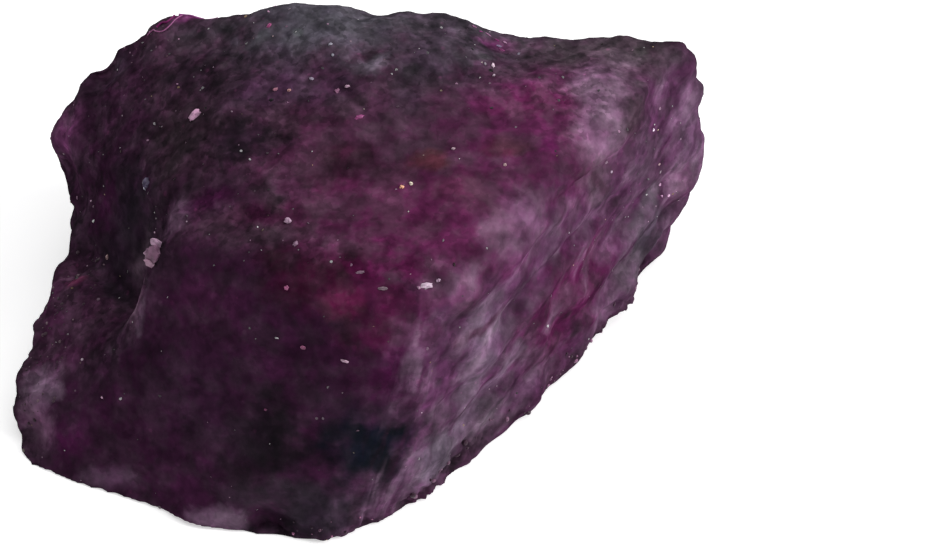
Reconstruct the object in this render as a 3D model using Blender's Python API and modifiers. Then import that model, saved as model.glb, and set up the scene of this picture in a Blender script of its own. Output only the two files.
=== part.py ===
"""A raw ruby crystal: one broken lump of foliated, almost opaque ruby.

The lump is one piece of stone, so it is one object. It lies on a flat parting face. A steep break with
long grooves closes it on the right, a smooth plate on the front left, and a grainy slope runs down to
its low left end. Metres, +Z up, +X along the lump, the origin on the resting face below its middle.
Run with: blender --background --python part.py
"""

import math

import bmesh
import bpy
from mathutils import Vector, noise

mm = 0.001

# The lump is three overlapping blocks, each the convex hull of its corners, in millimetres. Corners
# under the lump lie below the resting face, which cuts them off.
underside = -0.1
main_block = {
    "brow": (2.1, -5.5, 9.2),
    "brow left": (-1.9, -4.0, 9.0),
    "brow end": (-6.2, -0.7, 8.1),
    "brow right": (5.2, -2.9, 9.6),
    "brow far right": (8.5, 1.7, 9.8),
    "front ridge": (1.6, -7.3, 5.3),
    "front ridge low": (1.4, -7.8, 3.2),
    "crest": (-4.8, 1.9, 9.7),
    "rim right": (10.0, 6.0, 9.5),
    "rim corner": (11.6, 6.1, 9.4),
    "corner shoulder": (12.1, 5.7, 7.2),
    "corner behind": (10.4, 7.1, 8.4),
    "rim hump": (2.4, 6.8, 10.3),
    "rim crown": (-2.8, 6.9, 10.8),
    "rim left": (-5.9, 7.4, 9.6),
    "shoulder": (-8.1, 7.9, 8.6),
    "left slope": (-10.4, 7.4, 6.8),
    "left lobe": (-11.9, 6.3, 5.0),
    "left lobe foot": (-11.0, 4.9, underside),
    "right bulge": (12.5, 5.8, 4.4),
    "back left": (-5.2, 9.1, 4.5),
    "back right": (10.8, 8.8, 4.6),
    "foot left": (-10.2, -1.1, underside),
    "foot front": (-6.2, -6.1, underside),
    "foot toe": (-1.5, -9.0, underside),
    "foot ridge": (1.0, -8.1, underside),
    "foot right near": (3.9, -5.6, underside),
    "foot right": (7.0, -1.9, underside),
    "foot right far": (10.6, 4.0, underside),
    "foot back right": (10.4, 7.6, underside),
    "foot back": (-0.2, 7.9, underside),
    "foot back left": (-8.2, 7.1, underside),
}
front_plate = {
    "top left": (-6.8, -1.6, 8.3),
    "top": (-2.1, -4.5, 9.2),
    "top right": (1.9, -5.7, 9.2),
    "right": (1.4, -7.4, 5.3),
    "right low": (1.3, -7.9, 3.2),
    "left": (-8.3, -2.8, 4.8),
    "toe left": (-10.4, -5.8, 0.8),
    "foot left": (-8.4, -7.3, underside),
    "foot": (-5.4, -8.6, underside),
    "foot toe": (-1.5, -9.2, underside),
    "foot right": (1.0, -8.1, underside),
    "inner left": (-8.2, -1.6, underside),
    "inner right": (0.8, -4.1, underside),
    "inner top": (-2.2, -1.1, 7.5),
}
left_end = {
    "lobe": (-11.5, 1.1, 2.7),
    "lobe back": (-11.0, 3.1, 2.3),
    "band": (-12.0, -1.1, 2.1),
    "knob": (-12.7, -3.5, 1.2),
    "toe": (-12.2, -5.2, 0.6),
    "band front": (-10.2, -4.4, 2.3),
    "band top": (-8.6, -2.3, 4.0),
    "foot back": (-11.3, 3.7, underside),
    "foot left": (-12.6, -2.9, underside),
    "foot corner": (-12.1, -5.7, underside),
    "foot front": (-10.3, -6.7, underside),
    "foot middle": (-7.4, -7.7, underside),
    "inner": (-6.7, -1.1, 3.0),
    "inner foot": (-6.2, -3.1, underside),
}
block_voxel = 0.2 * mm
wear_rounds = 10  # smoothing passes that round the worn edges

# Lumps and hollows, in millimetres: (middle, radius, how far it stands out)
swellings = {
    "left notch": ((-11.0, 4.1, 3.6), 2.6, -0.3),
    "saddle of the rim": ((6.0, 6.6, 9.9), 3.6, -0.7),
    "dip beside the crown": ((0.6, 7.1, 10.7), 1.2, -0.6),
    "lobe of the right corner": ((11.9, 5.9, 7.6), 1.2, 0.25),
    "step behind the left end": ((-11.1, 4.3, 0.8), 1.8, 0.35),
}

# Grooves that run with the foliation, in millimetres: (start, end, half width, depth)
grooves = {
    "below the ridge": ((6.4, -1.7, 8.5), (9.8, 2.9, 7.8), 0.7, 0.45),
    "under the brow": ((3.0, -4.4, 8.7), (5.2, -2.5, 8.6), 0.5, 0.3),
    "across the right break": ((4.2, -4.5, 5.6), (7.2, -0.5, 6.2), 0.6, 0.3),
}

groove_wander = 0.35

# Foliation: nearly level sheets whose broken edges show as ledges on the steep right break
sheet_tilt = Vector((0.05, -0.1, 0.0))
sheet_pitch = 1.5
sheet_waviness = 0.7
sheet_patch = Vector((0.16, 0.16, 0.6))  # ledges come and go: long along the sheets, short across
ledge_depth = 0.32
ledge_elsewhere = 0.08  # share of that depth on the other steep faces

# Unevenness: broad swells and smaller lumps, least on the smooth front plate
swell_size = 4.0
swell_height = 0.25
lump_size = 1.4
lump_height = 0.14
plate_facing = Vector((-0.39, -0.8, 0.46))
plate_smoothness = 0.6

# Grains: rounded, on the left end and in the crust along the right foot
grain_pitch = 1.1
grain_height = 0.4
grain_elsewhere = 0.12  # share of that height on the rest of the lump
left_grains_from = 8.7
left_grains_full = 11.2
crust_start = Vector((1.3, -7.6, 0.3))
crust_way = Vector((9.5, 11.5, 1.0)).normalized()
crust_reach = 1.6

relief_full_at = 0.3  # height above the resting face where the relief reaches its full depth

triangle_budget = 8600


def clear_scene():
    for obj in list(bpy.data.objects):
        bpy.data.objects.remove(obj)


def collection_named(name):
    collection = bpy.data.collections.new(name)
    bpy.context.scene.collection.children.link(collection)
    return collection


def block_object(name, corners, collection):
    """The convex hull of the corners as a closed mesh object."""
    block = bmesh.new()
    for corner in corners.values():
        block.verts.new(Vector(corner) * mm)
    bmesh.ops.convex_hull(block, input=block.verts)
    bmesh.ops.recalc_face_normals(block, faces=block.faces)
    mesh = bpy.data.meshes.new(name)
    block.to_mesh(mesh)
    block.free()
    obj = bpy.data.objects.new(name, mesh)
    collection.objects.link(obj)
    return obj


def apply_modifiers(obj):
    bpy.context.view_layer.update()
    graph = bpy.context.evaluated_depsgraph_get()
    obj.data = bpy.data.meshes.new_from_object(obj.evaluated_get(graph))
    obj.modifiers.clear()


def join_blocks(body, others):
    """Unites the blocks, evens out the mesh and rounds its edges."""
    for other in others:
        other.hide_render = True
        other.display_type = "WIRE"
        union = body.modifiers.new(other.name, "BOOLEAN")
        union.operation = "UNION"
        union.solver = "EXACT"
        union.object = other
    even = body.modifiers.new("even mesh", "REMESH")
    even.mode = "VOXEL"
    even.voxel_size = block_voxel
    wear = body.modifiers.new("worn edges", "SMOOTH")
    wear.factor = 0.5
    wear.iterations = wear_rounds
    apply_modifiers(body)


def smooth_step(low, high, value):
    t = min(max((value - low) / (high - low), 0.0), 1.0)
    return t * t * (3 - 2 * t)


def fade(distance, reach):
    """1 at the middle of a feature, 0 from its reach outward, with no kink between."""
    t = min(distance / reach, 1.0)
    return (1 - t * t) ** 2


def distance_to_line(point, start, end):
    """Distance to the line from start to end, and how far along it the nearest point is, 0 to 1."""
    way = end - start
    share = min(max((point - start).dot(way) / way.length_squared, 0.0), 1.0)
    return (point - start - way * share).length, share


def swelling_at(point):
    return sum(rise * fade((point - Vector(at)).length, reach) for at, reach, rise in swellings.values())


def groove_at(point):
    """Grooves wander a little and are deepest halfway along."""
    height = 0.0
    bent = point + groove_wander * noise.noise_vector(point / lump_size)
    for start, end, half_width, depth in grooves.values():
        away, share = distance_to_line(bent, Vector(start), Vector(end))
        deepest = 1 - (2 * share - 1) ** 2
        height -= depth * fade(away, half_width) * (0.3 + 0.7 * deepest)
    return height


def ledge_at(point, normal):
    """Broken edges of the foliation: each rises slowly and drops back sharply."""
    level = point.z + sheet_tilt.dot(point) + sheet_waviness * noise.noise(point / swell_size)
    phase = (level / sheet_pitch) % 1.0
    step = smooth_step(0.0, 0.7, phase) - smooth_step(0.7, 1.0, phase)
    here = smooth_step(-0.2, 0.3, noise.noise(point * sheet_patch + Vector((7, 0, 0))))
    steep = smooth_step(0.4, 0.9, math.hypot(normal.x, normal.y))
    right = smooth_step(0.1, 0.6, normal.x)
    share = ledge_elsewhere + (1 - ledge_elsewhere) * right
    return ledge_depth * (step - 0.5) * here * steep * share


def lump_at(point, normal):
    swell = swell_height * noise.fractal(point / swell_size + Vector((0, 2, 5)), 1.0, 2.0, 2)
    lump = lump_height * noise.noise(point / lump_size + Vector((3, 5, 1)))
    plate = smooth_step(0.5, 0.8, normal.dot(plate_facing))
    return (swell + lump) * (1 - plate_smoothness * plate)


def grain_at(point):
    """Rounded cells with creases between them."""
    distances, _ = noise.voronoi(point / grain_pitch)
    grain = 0.45 - distances[0]
    left = smooth_step(left_grains_from, left_grains_full, -point.x)
    along = (point - crust_start).dot(crust_way)
    crust = fade((point - crust_start - crust_way * along).length, crust_reach)
    return grain * grain_height * max(grain_elsewhere, left, crust)


def add_relief(mesh):
    """Moves each vertex along its normal. The underside stays flat."""
    body = bmesh.new()
    body.from_mesh(mesh)
    body.normal_update()
    moves = []
    for vert in body.verts:
        point = vert.co / mm
        normal = vert.normal
        height = swelling_at(point) + groove_at(point) + ledge_at(point, normal)
        height += lump_at(point, normal) + grain_at(point)
        moves.append(normal * height * smooth_step(underside, relief_full_at, point.z) * mm)
    for vert, move in zip(body.verts, moves):
        vert.co += move
    body.to_mesh(mesh)
    body.free()


def reduce_to_facets(obj):
    facets = obj.modifiers.new("facets", "DECIMATE")
    facets.ratio = triangle_budget / (2 * len(obj.data.polygons))
    apply_modifiers(obj)


def cut_resting_face(mesh):
    """Cuts the lump flat at z = 0 and closes the cut."""
    body = bmesh.new()
    body.from_mesh(mesh)
    everything = body.verts[:] + body.edges[:] + body.faces[:]
    cut = bmesh.ops.bisect_plane(body, geom=everything, plane_no=(0, 0, 1), clear_inner=True)
    rim = [item for item in cut["geom_cut"] if isinstance(item, bmesh.types.BMEdge)]
    face = bmesh.ops.edgeloop_fill(body, edges=rim)["faces"]
    bmesh.ops.triangulate(body, faces=face)
    bmesh.ops.recalc_face_normals(body, faces=body.faces)
    body.to_mesh(mesh)
    body.free()


def centre_on_origin(mesh):
    xs = [vert.co.x for vert in mesh.vertices]
    ys = [vert.co.y for vert in mesh.vertices]
    shift = Vector((-(min(xs) + max(xs)) / 2, -(min(ys) + max(ys)) / 2, 0))
    print("shift mm", shift / mm)
    for vert in mesh.vertices:
        vert.co += shift


def ruby_material():
    """Dark plum stone, a little glossy where it broke."""
    material = bpy.data.materials.new("raw_ruby")
    material.use_nodes = True
    shader = material.node_tree.nodes["Principled BSDF"]
    shader.inputs["Base Color"].default_value = (0.07, 0.025, 0.055, 1)
    shader.inputs["Roughness"].default_value = 0.55
    shader.inputs["Metallic"].default_value = 0.0
    material.diffuse_color = (0.07, 0.025, 0.055, 1)
    return material


def main():
    clear_scene()
    stone = collection_named("raw ruby crystal")
    helpers = collection_named("blocks")
    helpers.hide_render = True
    crystal = block_object("ruby_crystal", main_block, stone)
    plate = block_object("front plate", front_plate, helpers)
    end = block_object("left end", left_end, helpers)
    join_blocks(crystal, (plate, end))
    add_relief(crystal.data)
    reduce_to_facets(crystal)
    cut_resting_face(crystal.data)
    centre_on_origin(crystal.data)
    crystal.data.materials.append(ruby_material())


main()
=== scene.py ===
import math
import random

import bmesh
import bpy
from mathutils import Matrix, Vector
from mathutils.bvhtree import BVHTree


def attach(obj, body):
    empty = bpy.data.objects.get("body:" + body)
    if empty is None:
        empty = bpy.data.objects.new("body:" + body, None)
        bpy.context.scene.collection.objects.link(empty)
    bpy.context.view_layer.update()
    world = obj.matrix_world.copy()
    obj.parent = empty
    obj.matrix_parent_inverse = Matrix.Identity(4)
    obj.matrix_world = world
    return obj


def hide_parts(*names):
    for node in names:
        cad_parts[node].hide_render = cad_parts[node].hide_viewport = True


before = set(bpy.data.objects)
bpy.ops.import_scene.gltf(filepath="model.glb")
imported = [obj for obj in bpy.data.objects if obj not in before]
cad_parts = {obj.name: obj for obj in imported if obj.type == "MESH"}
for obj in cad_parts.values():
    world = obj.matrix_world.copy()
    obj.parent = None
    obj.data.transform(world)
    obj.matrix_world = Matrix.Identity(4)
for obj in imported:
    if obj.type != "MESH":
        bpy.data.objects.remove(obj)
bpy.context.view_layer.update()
mm = 0.001
bodyName = "root"


# helpers for every node tree; places inside the trees are in mm
def addNode(tree, kind, sockets=None, **settings):
    node = tree.nodes.new(kind)
    for name, value in settings.items():
        setattr(node, name, value)
    for key, value in (sockets or {}).items():
        feed(tree, node.inputs[key], value)
    return node


def feed(tree, socket, value):
    # a socket takes either a link or a plain value
    if isinstance(value, bpy.types.NodeSocket):
        tree.links.new(value, socket)
    else:
        socket.default_value = value


def calc(tree, operation, *values, clamp=False):
    node = addNode(tree, "ShaderNodeMath", operation=operation, use_clamp=clamp)
    for socket, value in zip(node.inputs, values):
        feed(tree, socket, value)
    return node.outputs[0]


def times(tree, *values):
    product = values[0]
    for value in values[1:]:
        product = calc(tree, "MULTIPLY", product, value)
    return product


def plus(tree, *values):
    total = values[0]
    for value in values[1:]:
        total = calc(tree, "ADD", total, value)
    return total


def oneLess(tree, value):
    return calc(tree, "SUBTRACT", 1.0, value)


def vectorCalc(tree, operation, *values):
    node = addNode(tree, "ShaderNodeVectorMath", operation=operation)
    sockets = [node.inputs[0], node.inputs[3 if operation == "SCALE" else 1]]
    for socket, value in zip(sockets, values):
        feed(tree, socket, value)
    return node.outputs["Value" if operation in ("LENGTH", "DISTANCE", "DOT_PRODUCT") else "Vector"]


def scaled(tree, vector, size):
    return vectorCalc(tree, "SCALE", vector, size)


def levelOf(tree, vector):
    # the upright part of a vector
    return addNode(tree, "ShaderNodeSeparateXYZ", {"Vector": vector}).outputs[2]


def ease(tree, value, low, high):
    # 0 below low, 1 above high, smooth between; low may be the larger
    node = addNode(tree, "ShaderNodeMapRange", interpolation_type="SMOOTHSTEP")
    for key, given in (("Value", value), ("From Min", low), ("From Max", high)):
        feed(tree, node.inputs[key], given)
    return node.outputs["Result"]


def noise(tree, place, scale, detail=2.0, rough=0.5, colour=False):
    node = addNode(tree, "ShaderNodeTexNoise", {
        "Vector": place, "Scale": scale, "Detail": detail, "Roughness": rough})
    return node.outputs["Color" if colour else "Fac"]


def wandered(tree, place, scale, detail, reach):
    # the place pushed about by noise, so that edges come out ragged
    push = vectorCalc(tree, "SUBTRACT", noise(tree, place, scale, detail, 0.6, colour=True), (0.5, 0.5, 0.5))
    return vectorCalc(tree, "ADD", place, scaled(tree, push, reach))


def offLine(tree, place, start, along, squared):
    # distance to the straight line that runs along from its start
    gone = vectorCalc(tree, "SUBTRACT", place, start)
    share = calc(tree, "DIVIDE", vectorCalc(tree, "DOT_PRODUCT", gone, along), squared, clamp=True)
    return vectorCalc(tree, "LENGTH", vectorCalc(tree, "SUBTRACT", gone, scaled(tree, along, share)))


def fromLine(tree, place, start, end):
    along = Vector(end) - Vector(start)
    return offLine(tree, place, start, tuple(along), along.length_squared)


def mixColour(tree, share, under, over):
    node = addNode(tree, "ShaderNodeMix", data_type="RGBA")
    for socket, value in ((node.inputs[0], share), (node.inputs[6], under), (node.inputs[7], over)):
        feed(tree, socket, value)
    return node.outputs[2]


def paint(red, green, blue):
    # 0-255 screen values to the linear ones that shaders take
    channels = [value / 255 for value in (red, green, blue)]
    return (*[c / 12.92 if c <= 0.04045 else ((c + 0.055) / 1.055) ** 2.4 for c in channels], 1.0)


# camera, floor and light; lengths in mm, angles in degrees
cameraSet = {"target": (3.69, -1.157, 5.0), "elevation": 48.0, "distance": 81.81,
             "lens": 90.0, "sensor": 36.0}
floorSet = {"half": 600.0, "colour": (0.93, 0.93, 0.93, 1.0), "glow": 0.5}
lightSet = {
    "keySun": {"from": (0.85, -0.08, 0.5), "strength": 2.1, "angle": 26.0, "colour": (1.0, 0.99, 0.985)},
    "topSun": {"from": (0.15, 0.25, 1.0), "strength": 1.35, "angle": 70.0, "colour": (0.99, 0.99, 1.0)},
}
worldSet = {"fill": 0.17, "backdrop": 0.95}


def makeCamera(values):
    data = bpy.data.cameras.new("stoneCamera")
    data.lens = values["lens"]
    data.sensor_width = values["sensor"]
    data.clip_start = 1 * mm
    data.clip_end = 5.0
    camera = bpy.data.objects.new("stoneCamera", data)
    bpy.context.scene.collection.objects.link(camera)
    lift = math.radians(values["elevation"])
    back = Vector((0, -math.cos(lift), math.sin(lift)))
    camera.location = (Vector(values["target"]) + back * values["distance"]) * mm
    camera.rotation_euler = back.to_track_quat("Z", "Y").to_euler()
    bpy.context.scene.camera = camera


def makeFloor(values):
    half = values["half"] * mm
    mesh = bpy.data.meshes.new("paleFloor")
    corners = [(-half, -half, 0), (half, -half, 0), (half, half, 0), (-half, half, 0)]
    mesh.from_pydata(corners, [], [(0, 1, 2, 3)])
    floor = bpy.data.objects.new("paleFloor", mesh)
    bpy.context.scene.collection.objects.link(floor)
    material = bpy.data.materials.new("matteWhiteFloor")
    material.use_nodes = True
    shader = material.node_tree.nodes["Principled BSDF"]
    shader.inputs["Base Color"].default_value = values["colour"]
    shader.inputs["Roughness"].default_value = 0.9
    shader.inputs["Specular IOR Level"].default_value = 0.0
    shader.inputs["Emission Color"].default_value = (1, 1, 1, 1)      # a lit table, so the floor stays white
    shader.inputs["Emission Strength"].default_value = values["glow"]
    mesh.materials.append(material)


def makeSun(name, values):
    data = bpy.data.lights.new(name, "SUN")
    data.energy = values["strength"]
    data.angle = math.radians(values["angle"])
    data.color = values["colour"]
    sun = bpy.data.objects.new(name, data)
    bpy.context.scene.collection.objects.link(sun)
    sun.rotation_euler = Vector(values["from"]).to_track_quat("Z", "Y").to_euler()


def makeWorld(values):
    world = bpy.data.worlds.new("softWorld")
    bpy.context.scene.world = world
    world.use_nodes = True
    tree = world.node_tree
    tree.nodes.clear()
    path = addNode(tree, "ShaderNodeLightPath")
    fill = addNode(tree, "ShaderNodeBackground", {"Color": (1, 1, 1, 1), "Strength": values["fill"]})
    seen = addNode(tree, "ShaderNodeBackground", {"Color": (1, 1, 1, 1), "Strength": values["backdrop"]})
    both = addNode(tree, "ShaderNodeMixShader", {
        0: path.outputs["Is Camera Ray"], 1: fill.outputs[0], 2: seen.outputs[0]})
    addNode(tree, "ShaderNodeOutputWorld", {"Surface": both.outputs[0]})


makeCamera(cameraSet)
makeFloor(floorSet)
for name, values in lightSet.items():
    makeSun(name, values)
makeWorld(worldSet)
bpy.context.scene.view_settings.view_transform = "Standard"
print("camera, floor and light are in place")


# helpers for geometry node trees
socketKinds = {float: "NodeSocketFloat", int: "NodeSocketInt", tuple: "NodeSocketVector"}


def startTree(name, inputs):
    tree = bpy.data.node_groups.new(name, "GeometryNodeTree")
    tree.interface.new_socket(name="Geometry", in_out="INPUT", socket_type="NodeSocketGeometry")
    tree.interface.new_socket(name="Geometry", in_out="OUTPUT", socket_type="NodeSocketGeometry")
    for label, value in inputs.items():
        tree.interface.new_socket(name=label, in_out="INPUT", socket_type=socketKinds[type(value)])
    tree.nodes.new("NodeGroupInput")
    return tree, tree.nodes["Group Input"].outputs


def endTree(tree, geometry, material):
    real = addNode(tree, "GeometryNodeRealizeInstances", {"Geometry": geometry}).outputs[0]
    made = addNode(tree, "GeometryNodeSetMaterial", {"Geometry": real, "Material": material}).outputs[0]
    out = tree.nodes.new("NodeGroupOutput")
    tree.links.new(made, out.inputs["Geometry"])


def useTree(item, tree, inputs):
    modifier = item.modifiers.new(tree.name, "NODES")
    modifier.node_group = tree
    for socket in tree.interface.items_tree:
        if socket.in_out == "INPUT" and socket.name in inputs:
            modifier[socket.identifier] = inputs[socket.name]


def pointPlace(tree):
    return scaled(tree, addNode(tree, "GeometryNodeInputPosition").outputs[0], 1 / mm)


def named(tree, name):
    return addNode(tree, "GeometryNodeInputNamedAttribute", {"Name": name}, data_type="FLOAT").outputs[0]


def store(tree, geometry, name, value, kind="FLOAT", domain="POINT"):
    node = addNode(tree, "GeometryNodeStoreNamedAttribute", {"Geometry": geometry, "Name": name},
                   data_type=kind, domain=domain)
    feed(tree, node.inputs["Value"], value)
    return node.outputs["Geometry"]


def blur(tree, value, passes, kind="FLOAT", weight=1.0):
    node = addNode(tree, "GeometryNodeBlurAttribute", {"Iterations": passes, "Weight": weight},
                   data_type=kind)
    feed(tree, node.inputs[0], value)
    return node.outputs[0]


def freeze(item, name, material):
    # the evaluated shape as a plain mesh in a new object
    graph = bpy.context.evaluated_depsgraph_get()
    mesh = bpy.data.meshes.new_from_object(item.evaluated_get(graph), preserve_all_data_layers=True,
                                           depsgraph=graph)
    mesh.name = name
    mesh.materials.clear()
    mesh.materials.append(material)
    piece = bpy.data.objects.new(name, mesh)
    bpy.context.scene.collection.objects.link(piece)
    source = item.data
    bpy.data.objects.remove(item)
    bpy.data.meshes.remove(source)
    return piece


def settle(piece, *nodes):
    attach(piece, bodyName)
    if nodes:
        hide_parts(*nodes)


# the stone's own surface
lumpSet = {
    "voxel": 0.1,            # mm between points before the relief goes on
    "passes": 9,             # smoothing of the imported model's flat facets
    "triangles": 192000,
}
reliefSet = {
    "Swell Height": 0.16,    # mm, broad unevenness of every face
    "Swell Scale": 0.3,      # per mm
    "Grain Height": 0.034,   # mm, the sugary grain of the top and the left
    "Grain Scale": 3.2,      # per mm
    "Layer Height": 0.014,   # mm, thin level layers on the broken side
    "Layer Scale": 1.5,      # per mm, up the stone
    "Lobe Height": 0.1,      # mm, soft small lobes
    "Lobe Scale": 0.85,      # per mm
    "Chip Height": 0.02,     # mm, small crystal grains
    "Chip Scale": 2.6,       # per mm
    "Facet Height": 0.05,    # mm, larger broken crystal faces
    "Facet Scale": 0.95,     # per mm
    "Knob Height": 0.26,     # mm, the garnet like knobs along the foot
    "Knob Scale": 2.3,       # per mm
    "Plate Share": 0.3,      # how much of the grain the smooth front plate keeps
    "Foot": 0.35,            # mm over which the relief comes up from the floor
    "Hollow": (-8.8, 0.8, 5.2),    # mm, the middle of the calmer hollow
    "Smooth Middle": (7.0, 3.0, 13.2),    # the fine grained part of the top, in mm with the seed added
    "Edge Wear": 240,        # smoothing passes where the worn edges are
    "Seed": 4.0,
}
wornEdges = {                # the two ends in mm, and how far the wear reaches
    "brow": ((-6.4, -1.9, 8.2), (1.4, -5.4, 9.1), 2.0),
    "front ridge": ((2.0, -5.6, 9.1), (1.6, -7.2, 5.4), 0.9),
    "edge of the break": ((3.2, -4.6, 9.4), (8.6, 1.7, 9.8), 1.1),
    "plate edge": ((-6.9, -2.4, 7.4), (-9.6, -5.2, 1.2), 2.1),
    "plate foot": ((-9.6, -5.6, 1.4), (-7.4, -6.2, 2.6), 1.4),
    "ridge foot": ((1.5, -7.6, 4.2), (-1.2, -8.9, 0.6), 1.9),
}
swells = {                   # rounded humps and dents: middle, reach and height in mm
    "left rim lobe": ((-10.7, 6.5, 6.1), 1.2, 0.08),
    "under the shoulder": ((-9.8, 7.0, 7.1), 1.2, -0.5),
    "shoulder dent": ((-8.6, 7.2, 7.9), 1.2, -0.2),
    "shoulder": ((-6.9, 7.3, 8.9), 1.5, 0.34),
    "left lobe dent": ((-11.3, 4.9, 3.9), 1.2, -0.48),
    "left waist": ((-10.7, 2.4, 3.0), 1.6, 0.25),
    "waist lobe": ((-10.9, 1.5, 2.8), 0.9, 0.22),
    "left middle dent": ((-11.6, -0.3, 2.3), 0.8, -0.14),
    "left middle lobe": ((-11.8, -1.6, 2.1), 0.7, 0.05),
    "left low lobe": ((-12.1, -2.9, 1.6), 0.9, 0.24),
    "low left corner": ((-11.9, -5.2, 0.7), 1.4, -0.54),
    "foot left": ((-5.8, -8.3, 0.3), 1.3, 0.24),
    "foot middle": ((-3.2, -8.85, 0.5), 1.2, -0.6),
    "foot right": ((-1.0, -9.0, 0.6), 1.3, 0.26),
    "foot corner": ((1.7, -7.7, 0.4), 0.8, -0.12),
    "crust dent": ((3.2, -6.1, 0.3), 0.7, -0.1),
    "crust roll": ((4.3, -4.9, 1.2), 0.8, 0.1),
    "break foot low": ((6.0, -3.4, 0.8), 1.3, 0.36),
    "break foot": ((7.4, -1.6, 1.0), 1.6, 0.16),
    "break foot high": ((9.3, 1.3, 1.2), 1.3, 0.5),
    "break foot dent": ((10.4, 3.1, 0.8), 0.9, -0.16),
    "far right": ((11.8, 4.6, 3.4), 1.3, 0.26),
    "far right crown": ((11.0, 5.5, 9.2), 1.0, 0.26),
    "far right corner": ((11.8, 5.3, 8.9), 1.2, 0.44),
    "far right dent": ((12.2, 5.2, 7.2), 0.9, -0.16),
    "lilac lump": ((-6.3, -1.1, 7.9), 0.75, 0.22),
    "back rim": ((5.7, 6.1, 9.5), 1.5, 0.16),
    "rim dent": ((8.6, 5.7, 9.6), 1.1, -0.14),
    "crown slope": ((3.3, 6.2, 10.2), 1.0, -0.13),
    "crown right": ((1.9, 6.4, 10.5), 1.6, -0.22),
    "crown middle": ((-0.1, 6.3, 10.6), 1.0, -0.3),
    "crown left": ((-2.4, 6.4, 10.5), 1.2, 0.2),
}
knobLines = {                # where the knobs sit: the two ends, reach and strength
    "right foot": ((1.4, -7.9, 0.4), (10.4, 3.0, 0.9), 0.75, 0.75),
    "right foot by the ridge": ((1.6, -7.6, 0.4), (3.6, -5.8, 0.7), 0.9, 0.75),
    "far end of the foot": ((8.7, 0.2, 1.2), (9.9, 1.9, 1.2), 1.0, 0.5),
    "left end": ((-12.1, -3.4, 1.3), (-10.6, 1.2, 3.0), 1.1, 0.22),
    "front foot": ((-2.6, -9.0, 0.4), (0.6, -8.8, 0.5), 0.9, 0.7),
}
plateFacing = (-0.33, -0.78, 0.53)
breakFacing = (0.76, -0.62, 0.18)


def wearEdges(tree, geometry, passes):
    place = pointPlace(tree)
    wear = 0.0
    for start, end, reach in wornEdges.values():
        near = ease(tree, fromLine(tree, place, start, end), reach, reach * 0.35)
        wear = calc(tree, "MAXIMUM", wear, near)
    wear = times(tree, wear, ease(tree, levelOf(tree, place), 0.0, 0.7))
    soft = blur(tree, addNode(tree, "GeometryNodeInputPosition").outputs[0], passes, "FLOAT_VECTOR", wear)
    return addNode(tree, "GeometryNodeSetPosition", {"Geometry": geometry, "Position": soft}).outputs[0]


def cells(tree, place, scale):
    # rounded cells, high in the middle and creased between
    node = addNode(tree, "ShaderNodeTexVoronoi", {"Vector": place, "Scale": scale}, feature="F1")
    return calc(tree, "SUBTRACT", 0.95, node.outputs["Distance"])


def coarseness(tree, given, place, bent, calm, side):
    # the sugary grain is strongest away from the smooth magenta middle of the top, and calmer in the hollow
    inward = vectorCalc(tree, "SUBTRACT", bent, given["Smooth Middle"])
    inward = vectorCalc(tree, "MULTIPLY", inward, (0.75, 1.0, 0.6))
    outside = ease(tree, vectorCalc(tree, "LENGTH", inward), 2.2, 5.2)
    hollow = ease(tree, vectorCalc(tree, "DISTANCE", place, given["Hollow"]), 2.6, 1.0)
    coarse = times(tree, calm, oneLess(tree, times(tree, side, 0.55)))
    coarse = times(tree, coarse, plus(tree, 0.35, times(tree, outside, 0.65)))
    return times(tree, coarse, oneLess(tree, times(tree, hollow, 0.45)))


def fineHeight(tree, given, seeded, bent, calm, coarse, side):
    layered = vectorCalc(tree, "MULTIPLY", bent, (0.16, 0.16, 1.0))
    waves = {
        "Swell": (noise(tree, seeded, given["Swell Scale"], 1.0), 1.0),
        "Grain": (noise(tree, bent, given["Grain Scale"], 3.0, 0.55), coarse),
        "Layer": (noise(tree, layered, given["Layer Scale"], 2.0, 0.55), times(tree, side, calm)),
        "Lobe": (noise(tree, bent, given["Lobe Scale"], 2.0, 0.5), calm),
        "Chip": (cells(tree, bent, given["Chip Scale"]), coarse),
        "Facet": (cells(tree, wandered(tree, bent, 1.2, 2.0, 0.5), given["Facet Scale"]), coarse),
    }
    height = 0.0
    for name, (wave, share) in waves.items():
        size = times(tree, given[name + " Height"], 2.0, share)
        height = plus(tree, height, times(tree, calc(tree, "SUBTRACT", wave, 0.5), size))
    return height


def knobHeight(tree, given, place, seeded, bent, knobbly):
    # the knobs stand out from the foot and fade only close to the floor
    wave = cells(tree, wandered(tree, bent, 1.5, 2.0, 0.4), given["Knob Scale"])
    uneven = plus(tree, 0.25, ease(tree, noise(tree, seeded, 1.1, 1.0), 0.32, 0.62))
    knobs = times(tree, given["Knob Height"], 2.0, knobbly, calc(tree, "SUBTRACT", wave, 0.38), uneven)
    return times(tree, knobs, ease(tree, levelOf(tree, place), 0.0, 0.12))


def swellHeight(tree, place):
    humps = 0.0
    for middle, reach, rise in swells.values():
        far = vectorCalc(tree, "DISTANCE", place, middle)
        humps = plus(tree, humps, times(tree, ease(tree, far, reach, 0.0), rise))
    return times(tree, humps, ease(tree, levelOf(tree, place), 0.0, 0.15))


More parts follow.
